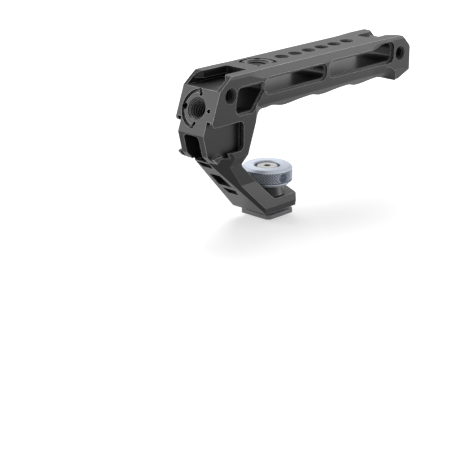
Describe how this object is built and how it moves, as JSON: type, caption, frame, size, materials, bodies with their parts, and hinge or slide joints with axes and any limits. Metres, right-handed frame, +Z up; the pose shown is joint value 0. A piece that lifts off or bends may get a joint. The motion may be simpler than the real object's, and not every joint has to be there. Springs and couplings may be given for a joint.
{
  "type": "camera top handle",
  "caption": "Machined aluminium camera top handle: windowed grip, cold shoes, threaded accessory holes, and a hot shoe foot clamped by a knurled thumb wheel.",
  "frame": {"origin": "middle of the shoe foot's underside, on the thumb wheel's axis", "axes": "+Z up through the thumb wheel, +X rearward along the grip, +Y to the side away from the picture's viewer"},
  "size_m": [0.1418, 0.0238, 0.0729],
  "materials": {
    "black_aluminium": "fine blasted, black anodised",
    "blue_grey_aluminium": "satin, blue-grey anodised, knurled rim",
    "dark_steel": "dark plated",
    "bright_steel": "turned, bright"
  },
  "bodies": {
    "handle": {"handle_frame": "black_aluminium"},
    "wheel": {"thumb_wheel": "blue_grey_aluminium"},
    "foot": {"shoe_foot": "dark_steel", "retaining_screw": "bright_steel"}
  },
  "joints": [
    {"name": "foot_lift", "type": "slide", "parent": "handle", "child": "foot", "axis": [0, 0, 1], "range_m": [-0.0012, 0.0003]},
    {"name": "wheel_turn", "type": "hinge", "parent": "handle", "child": "wheel", "pos_m": [0, 0, 0.019], "axis": [0, 0, 1], "range_deg": [-90, 350]}
  ],
  "couplings": [
    {"joint": "wheel_turn", "follows": "foot_lift", "rad_per_m": -5026.5}
  ]
}
